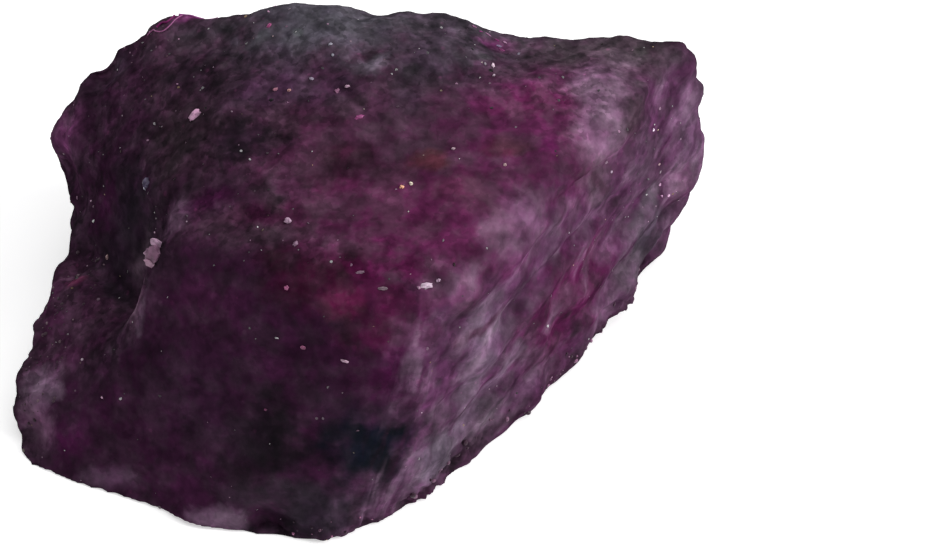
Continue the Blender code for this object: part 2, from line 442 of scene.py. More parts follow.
def buildRelief(inputs, material):
    tree, given = startTree("stoneRelief", inputs)
    geometry = wearEdges(tree, given["Geometry"], given["Edge Wear"])
    place = pointPlace(tree)
    normal = addNode(tree, "GeometryNodeInputNormal").outputs[0]
    facing = vectorCalc(tree, "NORMALIZE", blur(tree, normal, 6, "FLOAT_VECTOR"))
    # which face each point is on, 0 to 1
    plate = ease(tree, vectorCalc(tree, "DOT_PRODUCT", facing, plateFacing), 0.76, 0.92)
    side = ease(tree, vectorCalc(tree, "DOT_PRODUCT", facing, breakFacing), 0.6, 0.86)
    top = ease(tree, levelOf(tree, facing), 0.72, 0.92)
    for name, share in (("plateShare", plate), ("breakShare", side), ("topShare", top)):
        geometry = store(tree, geometry, name, blur(tree, share, 50))
    seed = addNode(tree, "ShaderNodeCombineXYZ", {axis: given["Seed"] for axis in "XYZ"})
    seeded = vectorCalc(tree, "ADD", place, seed.outputs[0])
    # a gentle wander keeps the layers from lying dead level
    wander = vectorCalc(tree, "SUBTRACT", noise(tree, seeded, 0.3, 1.0, colour=True), (0.5, 0.5, 0.5))
    bent = vectorCalc(tree, "ADD", seeded, wander)
    calm = oneLess(tree, times(tree, plate, oneLess(tree, given["Plate Share"])))
    coarse = coarseness(tree, given, place, bent, calm, side)
    geometry = store(tree, geometry, "coarseShare", blur(tree, coarse, 12))
    knobbly = 0.0
    for start, end, reach, strength in knobLines.values():
        near = ease(tree, fromLine(tree, place, start, end), reach, reach * 0.3)
        knobbly = calc(tree, "MAXIMUM", knobbly, times(tree, near, strength))
    geometry = store(tree, geometry, "knobShare", knobbly)
    height = fineHeight(tree, given, seeded, bent, calm, coarse, side)
    height = times(tree, height, ease(tree, levelOf(tree, place), 0.0, given["Foot"]))
    knobs = knobHeight(tree, given, place, seeded, bent, knobbly)
    height = plus(tree, height, knobs, swellHeight(tree, place))
    geometry = store(tree, geometry, "reliefHeight", height)
    offset = scaled(tree, normal, times(tree, height, mm))
    moved = addNode(tree, "GeometryNodeSetPosition", {"Geometry": geometry, "Offset": offset}).outputs[0]
    toned = store(tree, moved, "groundTone", groundColour(tree, place), "FLOAT_COLOR")
    endTree(tree, toned, material)
    return tree


def startLump(values):
    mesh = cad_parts["ruby_crystal"].data.copy()
    mesh.materials.clear()
    shape = bmesh.new()
    shape.from_mesh(mesh)
    bmesh.ops.remove_doubles(shape, verts=shape.verts, dist=0.001 * mm)
    shape.to_mesh(mesh)
    shape.free()
    lump = bpy.data.objects.new("stoneBlank", mesh)
    bpy.context.scene.collection.objects.link(lump)
    remesh = lump.modifiers.new("evenPoints", "REMESH")
    remesh.mode = "VOXEL"
    remesh.voxel_size = values["voxel"] * mm
    smooth = lump.modifiers.new("softFacets", "SMOOTH")
    smooth.factor = 0.5
    smooth.iterations = values["passes"]
    return lump


def makeLump(values, relief, material):
    lump = startLump(values)
    useTree(lump, buildRelief(relief, material), relief)
    evaluated = lump.evaluated_get(bpy.context.evaluated_depsgraph_get())
    mesh = evaluated.to_mesh()
    mesh.calc_loop_triangles()
    count = len(mesh.loop_triangles)
    evaluated.to_mesh_clear()
    thin = lump.modifiers.new("triangleBudget", "DECIMATE")
    thin.ratio = min(1.0, values["triangles"] / count)
    piece = freeze(lump, "rubyLump", material)
    piece.data.polygons.foreach_set("use_smooth", [True] * len(piece.data.polygons))
    print("surface: %d triangles before thinning, %d after" % (count, len(piece.data.polygons)))
    return piece


# the stone's finish
faceTones = {                # 0-255
    "rest": (50, 30, 46),
    "top": (72, 43, 63),
    "plate": (55, 24, 49),
    "break": (78, 45, 72),
}
# soft patches of colour: middle and reach in mm, tone 0-255, how strong
stonePatches = {
    "grey rim": ((1.0, 6.6, 10.3), (10.0, 2.2, 3.4), (66, 58, 68), 0.85),
    "grey crown": ((-1.6, 5.4, 10.6), (2.9, 2.0, 2.4), (83, 79, 89), 0.9),
    "grey behind": ((3.4, 4.2, 10.2), (3.4, 1.9, 1.8), (63, 52, 64), 0.9),
    "plum below the crown": ((-2.8, 3.0, 10.0), (3.2, 1.6, 1.6), (66, 42, 64), 0.8),
    "plum middle": ((-2.2, 0.4, 9.6), (2.8, 1.6, 1.6), (76, 38, 63), 0.8),
    "grey brown rim": ((8.4, 5.4, 9.6), (3.2, 1.2, 1.6), (78, 63, 73), 0.9),
    "magenta right": ((6.2, 1.2, 9.8), (3.8, 3.2, 2.8), (90, 40, 74), 0.95),
    "magenta glow": ((6.1, 2.1, 10.0), (1.9, 0.9, 1.2), (102, 40, 80), 0.8),
    "magenta spot": ((6.4, 0.3, 9.6), (0.5, 0.4, 0.7), (104, 36, 86), 0.6),
    "magenta middle": ((2.2, -2.6, 9.2), (4.4, 2.8, 2.2), (90, 37, 72), 0.95),
    "lilac by the middle": ((0.3, -2.4, 9.4), (1.5, 0.8, 1.0), (60, 24, 48), 0.4),
    "rose": ((-0.9, -1.1, 9.6), (1.1, 0.6, 0.8), (86, 36, 68), 0.7),
    "lilac cloud": ((-1.6, -2.0, 9.4), (0.9, 0.6, 0.8), (84, 46, 70), 0.5),
    "olive": ((5.0, 0.2, 9.8), (0.8, 0.5, 0.9), (86, 38, 54), 0.6),
    "rusty": ((2.4, -0.4, 9.8), (0.8, 0.45, 0.7), (96, 54, 56), 0.6),
    "wine red": ((-0.4, 0.0, 9.8), (0.9, 0.5, 0.8), (58, 24, 42), 0.7),
    # painted sheen: a pale silky patch standing for light on the fibres
    "painted sheen on the top": ((8.4, 2.4, 9.7), (1.2, 2.5, 1.8), (124, 92, 118), 0.9),
    "olive grey left": ((-6.3, 1.9, 8.9), (2.0, 2.3, 1.8), (52, 36, 46), 0.8),
    "dark upper left": ((-9.0, 4.6, 6.9), (2.6, 2.8, 2.6), (57, 29, 51), 0.85),
    "left lobe": ((-11.2, 5.4, 5.4), (1.1, 1.3, 1.4), (106, 60, 96), 0.85),
    # partly the stone's own dark colour, partly painted shade in the recess of the hollow
    "hollow": ((-8.8, 0.4, 5.2), (2.2, 2.6, 3.0), (41, 26, 40), 1.0),
    "left band": ((-10.8, -1.6, 2.6), (1.6, 2.2, 1.6), (79, 43, 70), 0.8),
    "pale lower left": ((-11.3, -3.7, 1.8), (0.8, 0.9, 1.0), (136, 104, 132), 0.9),
    "pale foot": ((-4.9, -8.5, 0.5), (1.0, 0.7, 0.6), (122, 92, 118), 0.85),
    "lilac mound": ((-6.3, -1.1, 7.9), (0.9, 0.8, 0.9), (106, 72, 100), 0.8),
    "wine brow": ((-1.4, -4.6, 8.9), (2.4, 1.2, 1.2), (58, 12, 40), 0.9),
    "red brow": ((0.9, -5.8, 7.9), (1.6, 1.2, 2.0), (72, 24, 54), 0.9),
    "ridge": ((2.0, -6.6, 7.0), (0.9, 0.9, 2.2), (99, 44, 89), 0.4),
    "brown black": ((-3.0, -7.1, 3.4), (2.6, 1.6, 1.7), (30, 20, 29), 0.95),
    "ink blue": ((0.7, -7.9, 3.8), (2.3, 1.55, 1.8), (17, 17, 30), 1.0),
    "plum foot": ((-1.4, -8.7, 1.2), (2.4, 0.9, 1.3), (43, 36, 46), 0.8),
    "plate left": ((-5.4, -5.6, 4.2), (2.6, 2.2, 2.8), (54, 28, 50), 0.7),
    "far right": ((11.9, 4.8, 5.8), (1.1, 1.8, 2.6), (98, 70, 95), 0.8),
    "olive dark": ((9.4, 2.3, 9.2), (0.7, 0.9, 1.1), (64, 50, 58), 0.8),
    "grey streaks": ((10.3, 2.6, 2.8), (1.2, 1.8, 1.9), (78, 68, 81), 0.8),
    "magenta low right": ((7.2, -1.4, 3.8), (3.0, 3.0, 2.4), (80, 29, 64), 0.95),
    # painted shade: a dark patch standing for the shade in a groove
    "painted groove shade": ((7.9, 0.1, 8.5), (1.0, 1.0, 0.6), (66, 30, 54), 0.7),
    # painted sheen: pale silky patches standing for light on the fibres of the break
    "painted sheen below the edge": ((5.4, -2.6, 8.9), (1.55, 1.4, 1.0), (137, 100, 131), 0.6),
    "painted sheen of the break": ((4.2, -4.8, 5.3), (1.4, 1.5, 1.8), (101, 80, 101), 0.85),
    "painted sheen by the foot": ((2.7, -6.8, 1.6), (1.4, 1.4, 1.3), (90, 78, 92), 0.9),
    "pink by the rim": ((4.8, 5.5, 9.8), (0.8, 0.5, 0.5), (112, 52, 98), 0.7),
    "pink on the shoulder": ((-6.4, 7.6, 9.0), (0.8, 0.5, 0.5), (120, 52, 106), 0.8),
    # painted highlight: a pale patch about the glint at the corner of the ridge
    "painted highlight at the corner": ((2.5, -5.25, 9.0), (0.5, 0.35, 0.4), (150, 116, 140), 0.75),
    "bluish": ((0.35, 3.6, 10.5), (0.7, 0.6, 0.8), (118, 108, 122), 0.7),
    "corner by the floor": ((-11.6, -4.9, 1.0), (0.8, 1.2, 0.9), (128, 92, 120), 0.8),
    "pale by the floor": ((-8.9, -6.8, 0.6), (1.5, 0.6, 0.5), (104, 74, 100), 0.7),
    "dark by the crown": ((-6.0, 4.7, 9.1), (1.8, 1.3, 1.3), (38, 24, 36), 0.8),
    "dark under the crown": ((-3.3, 4.5, 10.2), (1.0, 0.6, 0.7), (46, 34, 46), 0.7),
    "dark top left": ((-4.0, 0.8, 9.5), (1.6, 1.1, 1.0), (36, 22, 34), 0.95),
    "dark behind": ((1.7, 3.1, 10.3), (1.0, 1.8, 0.8), (48, 36, 48), 0.75),
    "dark wine": ((0.1, -0.5, 9.7), (1.2, 0.6, 0.8), (46, 20, 36), 0.85),
    "dark brow spot": ((-2.4, -2.4, 9.2), (0.9, 0.5, 0.7), (66, 20, 50), 0.6),
    "lit brow": ((-0.4, -5.4, 8.4), (0.9, 0.7, 0.8), (98, 36, 70), 0.85),
    "lit middle": ((3.4, -1.6, 9.7), (1.1, 0.7, 0.8), (106, 56, 84), 0.7),
    "lit edge": ((5.2, -2.9, 9.4), (0.8, 0.7, 0.8), (116, 72, 100), 0.3),
    "pale break": ((3.7, -4.8, 8.2), (0.8, 0.8, 0.9), (118, 70, 104), 0.65),
    # painted light: a pale patch that lifts the shade on the side of the hollow
    "painted light on the side of the hollow": ((-7.9, -1.9, 5.6), (0.7, 1.8, 1.4), (122, 92, 114), 0.95),
    "plum of the band": ((-8.8, -2.8, 3.6), (0.9, 1.0, 1.0), (52, 23, 46), 0.7),
    "lit plate": ((-1.0, -7.1, 5.2), (0.8, 0.6, 0.9), (58, 34, 54), 0.7),
    "dark by the ridge": ((1.8, -6.9, 6.0), (0.8, 0.8, 1.6), (56, 15, 47), 0.85),
    "grey of the foot": ((4.2, -4.9, 1.4), (1.2, 1.2, 1.2), (96, 80, 94), 0.7),
    "grey of the break": ((3.8, -5.4, 3.3), (0.8, 0.8, 1.2), (104, 86, 104), 0.6),
    "pale right": ((11.5, 4.2, 4.2), (0.7, 0.8, 1.0), (118, 80, 108), 0.6),
    "pale rim left": ((-9.5, 6.7, 7.3), (1.2, 0.7, 0.8), (76, 58, 76), 0.7),
    "grey of the upper break": ((8.2, 0.9, 7.6), (0.9, 0.9, 1.3), (98, 78, 92), 0.55),
    "grey by the right foot": ((9.6, 1.6, 2.2), (0.8, 0.9, 1.0), (78, 64, 76), 0.7),
    "plum brow left": ((-4.9, -1.1, 8.6), (1.1, 0.8, 0.8), (54, 16, 47), 0.8),
    "magenta brow": ((1.1, -4.5, 9.1), (1.2, 0.6, 0.8), (84, 24, 64), 0.75),
    "magenta of the hollow": ((-9.6, 2.4, 5.0), (1.1, 1.9, 1.9), (52, 20, 46), 0.9),
    "dark plum spot": ((7.55, -1.3, 2.1), (0.35, 0.35, 0.5), (46, 24, 40), 0.8),
    "lit plate top": ((-4.9, -4.3, 6.9), (1.55, 1.2, 1.6), (75, 36, 66), 0.7),
    "lit ridge top": ((2.6, -5.4, 8.7), (0.6, 0.5, 0.7), (112, 62, 96), 0.6),
    "grey magenta": ((4.2, -2.2, 9.4), (0.9, 0.5, 0.7), (98, 54, 80), 0.5),
    "pure magenta left": ((-3.6, -2.0, 8.8), (1.2, 0.5, 0.7), (68, 20, 53), 0.7),
    "pure magenta ridge": ((0.9, -6.7, 6.0), (0.9, 0.7, 0.9), (62, 14, 52), 0.6),
    "magenta in the break": ((5.6, -2.6, 7.6), (0.7, 0.7, 0.9), (92, 42, 80), 0.35),
    "dark shoulder": ((-4.6, 3.9, 9.6), (1.8, 1.1, 1.0), (48, 30, 44), 0.6),
    "magenta fleck": ((-10.4, 0.1, 3.2), (0.35, 0.35, 0.5), (132, 40, 92), 0.8),
    # painted shade deep in the recess of the hollow
    "painted shade deep in the hollow": ((-8.0, 1.0, 5.9), (1.0, 1.1, 1.3), (22, 17, 25), 0.4),
    "dark foot corner": ((1.4, -7.9, 2.4), (0.9, 0.7, 1.0), (34, 24, 36), 0.7),
    "pale low break": ((2.7, -6.2, 3.7), (0.6, 0.7, 0.9), (106, 82, 102), 0.6),
    "magenta by the floor": ((-10.2, -5.6, 1.3), (0.8, 0.6, 0.7), (84, 32, 74), 0.6),
    "grey foot": ((-3.9, -8.2, 1.6), (2.2, 0.7, 0.9), (58, 44, 57), 0.6),
    "pale face": ((9.9, 2.4, 6.6), (0.9, 1.0, 1.7), (100, 74, 97), 0.4),
}
# streaks: the points in mm, reach in mm, tone 0-255, how strong
stoneStreaks = {
    # painted shade: dark stripes standing for the shade in grooves
    "painted shade of the break groove": (((4.9, -3.8, 6.1), (4.2, -4.7, 6.1), (3.4, -5.5, 6.3)), 0.3, (62, 24, 48), 0.75),
    "painted shade of the upper groove": (((7.3, -0.6, 9.4), (8.0, 0.5, 8.0), (8.6, 1.0, 7.0)), 0.3, (66, 32, 54), 0.6),
    "lilac streak": (((2.2, -5.6, 8.8), (2.2, -6.4, 7.0), (2.15, -6.9, 5.4)), 0.2, (140, 106, 132), 0.5),
    "feather": (((-7.1, -2.4, 7.3), (-7.4, -3.1, 6.3), (-7.7, -3.9, 5.1)), 0.3, (96, 74, 94), 0.6),
    # painted sheen: pale streaks standing for light along the silky fibres
    "long painted sheen": (((4.9, -3.7, 5.9), (4.4, -4.4, 5.4), (3.9, -5.0, 4.6)), 0.5, (136, 110, 132), 0.5),
    "low painted sheen": (((5.4, -3.4, 3.6), (4.2, -5.0, 2.6), (3.2, -6.1, 1.6)), 0.55, (112, 92, 112), 0.6),
    "right painted sheen": (((10.6, 3.3, 4.6), (9.7, 2.2, 4.0), (9.0, 1.2, 3.4)), 0.4, (92, 80, 92), 0.6),
    "foot crust": (((1.5, -7.8, 0.3), (5.2, -4.2, 0.8), (8.0, -0.8, 0.6), (10.2, 2.7, 0.8)),
                   0.5, (58, 33, 51), 0.75),
    # painted shade: a dark stripe standing for the shade in a groove
    "painted shade of the low groove": (((4.6, -4.4, 3.4), (3.4, -5.9, 2.6)), 0.22, (62, 34, 54), 0.6),
}
fibreSet = {
    "along": (-0.62, -0.76, 0.0),      # the level way along the break, towards the front ridge
    "slope": 0.65,                     # how much the fibres fall along it
    "bend": 0.17,                      # how much more they sweep down past its middle
    "broad": (0.22, 0.3, 1.1),         # per mm along, into and across the fibres
    "thin": (0.8, 0.9, 3.4),
    "paintedSheen": (130, 100, 126),           # 0-255, the pale tone of the painted silky sheen on the fibre crests
    "painted sheen share": 0.4,
    # the dark tone of painted shade in the furrows between the fibres
    "furrowShade": (44, 18, 36),
    "furrow shade share": 0.45,
}
# soft spots: number per mm, size in cells, share left out, and what they do to the colour
spotSet = {
    "milky": (1.7, 0.42, 0.55, (1.45, 1.5, 1.45), (0.016, 0.010, 0.014)),
    "pink": (2.4, 0.36, 0.7, (1.7, 1.3, 1.5), (0.020, 0.004, 0.012)),
    "dark": (1.3, 0.5, 0.6, (0.6, 0.55, 0.62), (0.0, 0.0, 0.0)),
    "grey": (1.1, 0.6, 0.6, (0.95, 1.1, 0.97), (0.0, 0.002, 0.0)),
}
# waves of light and dark: how deep everywhere, and how much deeper where the stone is coarse
toneSwings = {
    "mottle": (1.2, 0.8),
    "cloud": (0.9, 0.0),
    "blotch": (1.5, 0.0),
    "grains": (0.12, 0.45),
    "strands": (0.3, 0.8),
    "sugar": (0.15, 0.7),
    "grit": (0.0, 0.35),
}
finishSet = {
    "broad patch": 1.6,                # mm; patches that reach further are worked out point by point
    "grains": 4.2,                     # crystal grains per mm
    "knobShade": 0.6,                     # how much painted shade darkens the low places between the knobs
    "darkest": 0.25,                   # the least that the waves leave of the colour
    "bloom": (0.0018, 0.0034, 0.0028),    # a faint grey over all, which shows most on the dark faces
    "rough": 0.34,
    "rougher": 0.3,
    "bump": 0.2,
    "bump depth": 0.06,                # mm
}


def startMaterial(name):
    material = bpy.data.materials.new(name)
    material.use_nodes = True
    tree = material.node_tree
    return material, tree, tree.nodes["Principled BSDF"]


def attribute(tree, name):
    return addNode(tree, "ShaderNodeAttribute", attribute_name=name).outputs["Fac"]


def stonePlace(tree):
    return scaled(tree, addNode(tree, "ShaderNodeTexCoord").outputs["Object"], 1 / mm)


def raggedPlaces(tree, place):
    # a wandering place and a cloud, which give every patch a faded edge
    soft = wandered(tree, place, 0.8, 2.0, 0.7)
    cloud = noise(tree, soft, 1.3, 4.0, 0.6)
    ragged = times(tree, calc(tree, "SUBTRACT", cloud, 0.5), 1.5)
    return soft, cloud, ragged


def addPatches(tree, colour, place, ragged, patches):
    for middle, reach, tone, strength in patches:
        local = vectorCalc(tree, "DIVIDE", vectorCalc(tree, "SUBTRACT", place, middle), reach)
        far = plus(tree, vectorCalc(tree, "LENGTH", local), ragged)
        colour = mixColour(tree, times(tree, ease(tree, far, 1.3, 0.3), strength), colour, paint(*tone))
    return colour


def groundColour(tree, place):
    # the faces and the broad patches are worked out point by point
    soft, _, ragged = raggedPlaces(tree, place)
    loose = wandered(tree, soft, 0.3, 1.0, 1.6)
    colour = paint(*faceTones["rest"])
    for name in ("top", "plate", "break"):
        colour = mixColour(tree, named(tree, name + "Share"), colour, paint(*faceTones[name]))
    broad = [patch for patch in stonePatches.values() if max(patch[1]) > finishSet["broad patch"]]
    return addPatches(tree, colour, loose, ragged, broad)


def addStreaks(tree, colour, place, ragged):
    for points, reach, tone, strength in stoneStreaks.values():
        far = 99.0
        for start, end in zip(points, points[1:]):
            far = calc(tree, "MINIMUM", far, fromLine(tree, place, start, end))
        far = plus(tree, calc(tree, "DIVIDE", far, reach), ragged)
        share = times(tree, ease(tree, far, 1.2, 0.2), strength)
        colour = mixColour(tree, share, colour, paint(*tone))
    return colour


def silkyFibres(tree, place, values):
    # the layers run level along the upper edge and sweep down towards the front ridge
    run = vectorCalc(tree, "DOT_PRODUCT", place, values["along"])
    level = levelOf(tree, place)
    past = calc(tree, "MAXIMUM", calc(tree, "SUBTRACT", run, 0.5), 0.0)
    bend = times(tree, calc(tree, "POWER", past, 2.0), values["bend"])
    across = plus(tree, level, times(tree, run, values["slope"]), bend)
    into = vectorCalc(tree, "DOT_PRODUCT", place, breakFacing)
    fibrePlace = addNode(tree, "ShaderNodeCombineXYZ", {
        "X": calc(tree, "SUBTRACT", run, level), "Y": into, "Z": across}).outputs[0]
    fibrePlace = wandered(tree, fibrePlace, 0.35, 2.0, 0.9)
    broad = noise(tree, vectorCalc(tree, "MULTIPLY", fibrePlace, values["broad"]), 1.0, 2.0, 0.5)
    thin = noise(tree, vectorCalc(tree, "MULTIPLY", fibrePlace, values["thin"]), 1.0, 3.0, 0.6)
    return plus(tree, times(tree, broad, 0.8), times(tree, thin, 0.2))


def addFibres(tree, colour, soft, fibres, sideShare, values):
    # painted silky sheen, pale in fans and patches on the fibre crests, and painted shade in the dark furrows
    # between
    fans = ease(tree, noise(tree, soft, 0.5, 2.0, 0.5), 0.42, 0.6)
    paintedSheen = times(tree, ease(tree, fibres, 0.44, 0.66), sideShare, fans, values["painted sheen share"])
    colour = mixColour(tree, paintedSheen, colour, paint(*values["paintedSheen"]))
    furrowShade = times(tree, ease(tree, fibres, 0.47, 0.34), sideShare, values["furrow shade share"])
    return mixColour(tree, furrowShade, colour, paint(*values["furrowShade"]))


def addBlooms(tree, colour, place, coarse):
    # clouds of a greyer and of a redder tone
    drift = noise(tree, wandered(tree, place, 1.6, 2.0, 0.4), 1.2, 3.0, 0.55)
    strong = plus(tree, 0.86, times(tree, ease(tree, drift, 0.62, 0.38), 0.2))
    colour = addNode(tree, "ShaderNodeHueSaturation", {"Saturation": strong, "Color": colour}).outputs[0]
    # soft milky blooms, more of them on the top
    bloom = noise(tree, wandered(tree, place, 2.4, 2.0, 0.3), 1.7, 2.0, 0.5)
    milky = times(tree, ease(tree, bloom, 0.52, 0.68), plus(tree, 0.12, times(tree, coarse, 0.3)))
    pale = vectorCalc(tree, "MULTIPLY", colour, (1.5, 1.4, 1.5))
    return mixColour(tree, milky, colour, vectorCalc(tree, "ADD", pale, (0.012, 0.008, 0.012)))


def addSpots(tree, colour, place, coarse):
    # soft round spots, some pale and some dark
    for scale, dot, keep, tint, shift in spotSet.values():
        loose = wandered(tree, place, 3.0, 2.0, 0.12)
        spots = addNode(tree, "ShaderNodeTexVoronoi", {"Vector": loose, "Scale": scale})
        pick = addNode(tree, "ShaderNodeSeparateColor", {"Color": spots.outputs["Color"]})
        wide = times(tree, pick.outputs[0], dot)
        share = ease(tree, spots.outputs["Distance"], wide, times(tree, wide, 0.3))
        share = times(tree, share, ease(tree, pick.outputs[1], keep, keep + 0.25))
        share = times(tree, share, plus(tree, 0.2, times(tree, coarse, 0.6)))
        toned = vectorCalc(tree, "ADD", vectorCalc(tree, "MULTIPLY", colour, tint), shift)
        colour = mixColour(tree, share, colour, toned)
    return colour


def swing(tree, value, wave, depth):
    # the value made larger and smaller by a wave about a half
    turn = times(tree, calc(tree, "SUBTRACT", wave, 0.5), depth)
    return times(tree, value, plus(tree, 1.0, turn))


def toneValue(tree, place, cloud, grainTone, grit, coarse, values):
    mild = wandered(tree, place, 2.0, 1.0, 0.16)
    waves = {
        "mottle": noise(tree, mild, 1.6, 3.0, 0.5),
        "cloud": cloud,
        "blotch": noise(tree, wandered(tree, place, 1.0, 2.0, 0.5), 0.75, 2.0, 0.5),
        "grains": grainTone,
        "strands": noise(tree, vectorCalc(tree, "MULTIPLY", mild, (1.0, 1.5, 1.6)), 2.0, 2.0, 0.5),
        "sugar": noise(tree, place, 4.2, 1.0, 0.6),
        "grit": grit,
    }
    value = 1.0
    for name, wave in waves.items():
        depth, deeper = toneSwings[name]
        value = swing(tree, value, wave, plus(tree, depth, times(tree, coarse, deeper)))
    # painted shade: the low places between the knobs are darkened
    low = ease(tree, attribute(tree, "reliefHeight"), 0.02, -0.06)
    knobShade = times(tree, attribute(tree, "knobShare"), low, values["knobShade"])
    return calc(tree, "MAXIMUM", times(tree, value, oneLess(tree, knobShade)), values["darkest"])


def makeStoneFinish(values):
    material, tree, shader = startMaterial("rawRuby")
    place = stonePlace(tree)
    coarse = attribute(tree, "coarseShare")
    sideShare = attribute(tree, "breakShare")
    soft, cloud, ragged = raggedPlaces(tree, place)
    colour = addNode(tree, "ShaderNodeAttribute", attribute_name="groundTone").outputs["Color"]
    small = [patch for patch in stonePatches.values() if max(patch[1]) <= values["broad patch"]]
    colour = addPatches(tree, colour, soft, ragged, small)
    colour = addStreaks(tree, colour, soft, ragged)
    fibres = silkyFibres(tree, place, fibreSet)
    colour = addFibres(tree, colour, soft, fibres, sideShare, fibreSet)
    colour = addBlooms(tree, colour, place, coarse)
    colour = addSpots(tree, colour, place, coarse)
    # crystal grains, each a little lighter or darker
    loose = wandered(tree, place, 5.0, 2.0, 0.2)
    grains = addNode(tree, "ShaderNodeTexVoronoi", {"Vector": loose, "Scale": values["grains"]})
    grainTone = addNode(tree, "ShaderNodeSeparateColor", {"Color": grains.outputs["Color"]}).outputs[0]
    grit = noise(tree, place, 7.5, 2.0, 0.6)
    lit = scaled(tree, colour, toneValue(tree, place, cloud, grainTone, grit, coarse, values))
    feed(tree, shader.inputs["Base Color"], vectorCalc(tree, "ADD", lit, values["bloom"]))
    feed(tree, shader.inputs["Roughness"], plus(tree, values["rough"], times(tree, grit, values["rougher"])))
    shader.inputs["Specular IOR Level"].default_value = 0.0
    ridges = times(tree, fibres, times(tree, sideShare, 0.25))
    pits = times(tree, grains.outputs["Distance"], times(tree, coarse, -0.5))
    bumps = plus(tree, noise(tree, place, 4.0, 3.0, 0.5), plus(tree, ridges, pits))
    bump = addNode(tree, "ShaderNodeBump", {
        "Height": bumps, "Strength": values["bump"], "Distance": values["bump depth"] * mm})
    feed(tree, shader.inputs["Normal"], bump.outputs["Normal"])
    print("stone finish: %d patches, %d streaks" % (len(stonePatches), len(stoneStreaks)))
    return material


lump = makeLump(lumpSet, reliefSet, makeStoneFinish(finishSet))
settle(lump, "ruby_crystal")


# what lies in and on the surface
def surfaceFinder(piece):
    points = [vert.co for vert in piece.data.vertices]
    tree = BVHTree.FromPolygons(points, [face.vertices for face in piece.data.polygons])

    def nearest(place):
        spot, normal, _, _ = tree.find_nearest(Vector(place) * mm)
        return spot, normal
    return nearest


onStone = surfaceFinder(lump)


def tonedFinish(name, rough, glossy):
    material, tree, shader = startMaterial(name)
    tone = addNode(tree, "ShaderNodeAttribute", attribute_name="tone").outputs["Color"]
    cloud = noise(tree, stonePlace(tree), 9.0, 3.0, 0.6)
    feed(tree, shader.inputs["Base Color"], scaled(tree, tone, plus(tree, 0.55, times(tree, cloud, 0.9))))
    feed(tree, shader.inputs["Roughness"], plus(tree, rough, times(tree, cloud, 0.2)))
    shader.inputs["Specular IOR Level"].default_value = glossy
    return material


def scatterOn(carrier, name, inputs, build, material):
    # build(tree, given) returns what stands on the carrier's surface
    item = bpy.data.objects.new(name + "Blank", carrier.data.copy())
    bpy.context.scene.collection.objects.link(item)
    tree, given = startTree(name, inputs)
    endTree(tree, build(tree, given), material)
    useTree(item, tree, inputs)
    piece = freeze(item, name, material)
    print("%s: %d triangles" % (name, sum(len(p.vertices) - 2 for p in piece.data.polygons)))
    return piece


def randomOf(tree, low, high, seed, kind="FLOAT"):
    node = addNode(tree, "FunctionNodeRandomValue", data_type=kind)
    keys = {"FLOAT": (2, 3, 1), "FLOAT_VECTOR": (0, 1, 0)}[kind]
    feed(tree, node.inputs[keys[0]], low)
    feed(tree, node.inputs[keys[1]], high)
    feed(tree, node.inputs["Seed"], seed)
    return node.outputs[keys[2]]


def seedOf(tree, given, step):
    return calc(tree, "ADD", given["Seed"], step)


def turnedBy(tree, rotation, angles):
    spin = addNode(tree, "FunctionNodeEulerToRotation", {"Euler": angles}).outputs[0]
    return addNode(tree, "FunctionNodeRotateRotation", {"Rotation": rotation, "Rotate By": spin},
                   rotation_space="LOCAL").outputs[0]


def spread(tree, given, many):
    # points on the surface, many times the set number per square mm
    density = times(tree, given["Density"], many, 1 / mm ** 2)
    return addNode(tree, "GeometryNodeDistributePointsOnFaces", {
        "Mesh": given["Geometry"], "Seed": given["Seed"], "Density": density})


def standOn(tree, points, shape, rotation, size):
    return addNode(tree, "GeometryNodeInstanceOnPoints", {
        "Points": points, "Instance": shape, "Rotation": rotation, "Scale": size}).outputs[0]


fleckSet = {
    "Density": 0.9,          # per square mm
    "Smallest": 0.35,        # share of the size below
    "Size": 0.07,            # mm across the middle of the largest
    "Tilt": 0.7,             # radians
    "Bright Corner": (10.6, 3.2, 5.2),   # mm, where the flecks crowd
    "Seed": 11,
}


def buildFlecks(tree, given):
    corner = ease(tree, vectorCalc(tree, "DISTANCE", pointPlace(tree), given["Bright Corner"]), 3.2, 0.8)
    many = plus(tree, 0.12, named(tree, "coarseShare"), times(tree, corner, 2.5))
    spots = spread(tree, given, many)
    plate = addNode(tree, "GeometryNodeMeshCylinder", {
        "Vertices": 6, "Radius": 1.0, "Depth": 0.35}).outputs["Mesh"]
    lean = randomOf(tree, (-1.0, -1.0, -3.0), (1.0, 1.0, 3.0), seedOf(tree, given, 1), "FLOAT_VECTOR")
    tilt = addNode(tree, "ShaderNodeCombineXYZ", {"X": given["Tilt"], "Y": given["Tilt"], "Z": 1.0})
    lean = vectorCalc(tree, "MULTIPLY", lean, tilt.outputs[0])
    turned = turnedBy(tree, spots.outputs["Rotation"], lean)
    big = calc(tree, "POWER", randomOf(tree, 0.0, 1.0, seedOf(tree, given, 2)), 3.0)
    size = plus(tree, given["Smallest"], times(tree, big, oneLess(tree, given["Smallest"])))
    size = times(tree, given["Size"], size, mm)
    placed = standOn(tree, spots.outputs["Points"], plate, turned, size)
    # painted glints: the flakes take pale tones, some very bright, that stand for light caught on them
    pick = randomOf(tree, 0.0, 1.0, seedOf(tree, given, 3))
    glintStrength = randomOf(tree, 0.12, 0.75, seedOf(tree, given, 4))
    tone = mixColour(tree, ease(tree, pick, 0.3, 0.6), paint(255, 250, 255), paint(255, 196, 238))
    tone = mixColour(tree, ease(tree, pick, 0.8, 0.9), tone, paint(255, 214, 168))
    tone = scaled(tree, tone, calc(tree, "POWER", glintStrength, 2.0))
    return store(tree, placed, "tone", tone, "FLOAT_COLOR", "INSTANCE")


